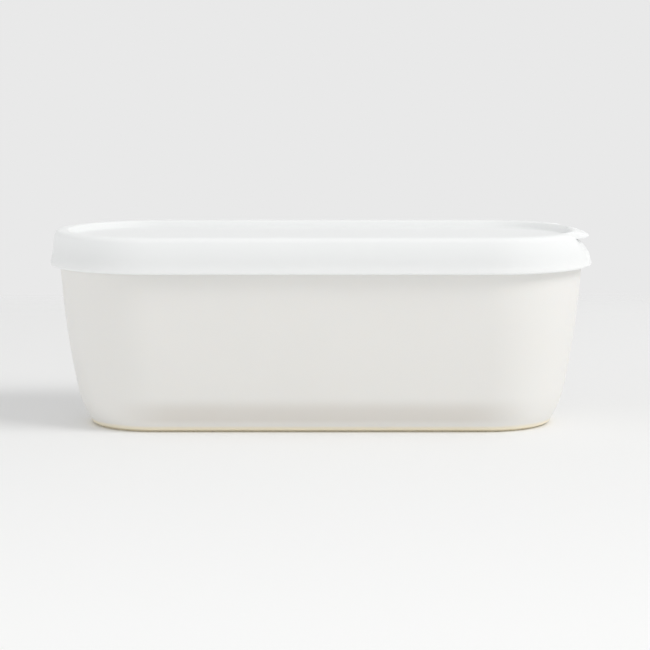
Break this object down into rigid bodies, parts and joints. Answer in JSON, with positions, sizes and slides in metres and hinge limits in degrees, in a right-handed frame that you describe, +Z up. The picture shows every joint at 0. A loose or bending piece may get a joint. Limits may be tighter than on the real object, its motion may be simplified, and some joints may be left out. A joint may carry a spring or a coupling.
{
  "type": "ice cream tub",
  "caption": "Long round-ended ice cream tub with tapering walls, shut by a thick soft lid with a sunk top panel, a rounded lip and a pull tongue over a finger notch at one end.",
  "frame": {"origin": "on the ground under the middle of the tub", "axes": "+X along the long side towards the pull tongue, +Z up"},
  "size_m": [0.298, 0.118, 0.1075],
  "materials": {
    "tub_plastic": "satin off-white moulded plastic",
    "lid_rubber": "soft matte white moulded rubber"
  },
  "bodies": {
    "root": {"tub": "tub_plastic", "lid": "lid_rubber"}
  },
  "joints": []
}
